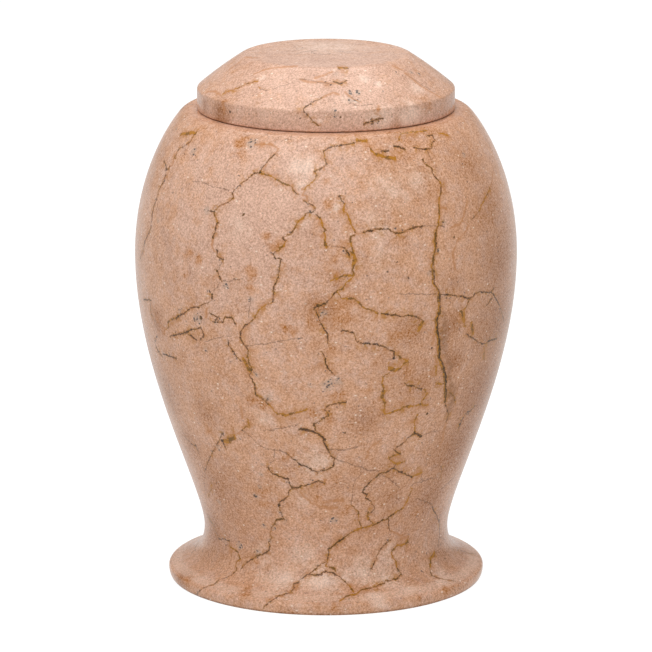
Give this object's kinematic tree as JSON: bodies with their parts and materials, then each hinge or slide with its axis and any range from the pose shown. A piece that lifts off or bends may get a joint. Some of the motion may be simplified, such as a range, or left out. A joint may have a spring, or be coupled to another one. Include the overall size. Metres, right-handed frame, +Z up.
{
  "type": "cremation urn",
  "caption": "Turned marble urn with a spreading foot, a full belly and a loose bevelled lid, hollow inside to hold cremated ashes.",
  "frame": {"origin": "centre of the underside, on the surface that the urn stands on", "axes": "+Z up along the turning axis, -Y towards the side that the picture shows"},
  "size_m": [0.1908, 0.1908, 0.267],
  "materials": {
    "marble": "polished"
  },
  "bodies": {
    "root": {"urn_body": "marble", "urn_lid": "marble"}
  },
  "joints": []
}
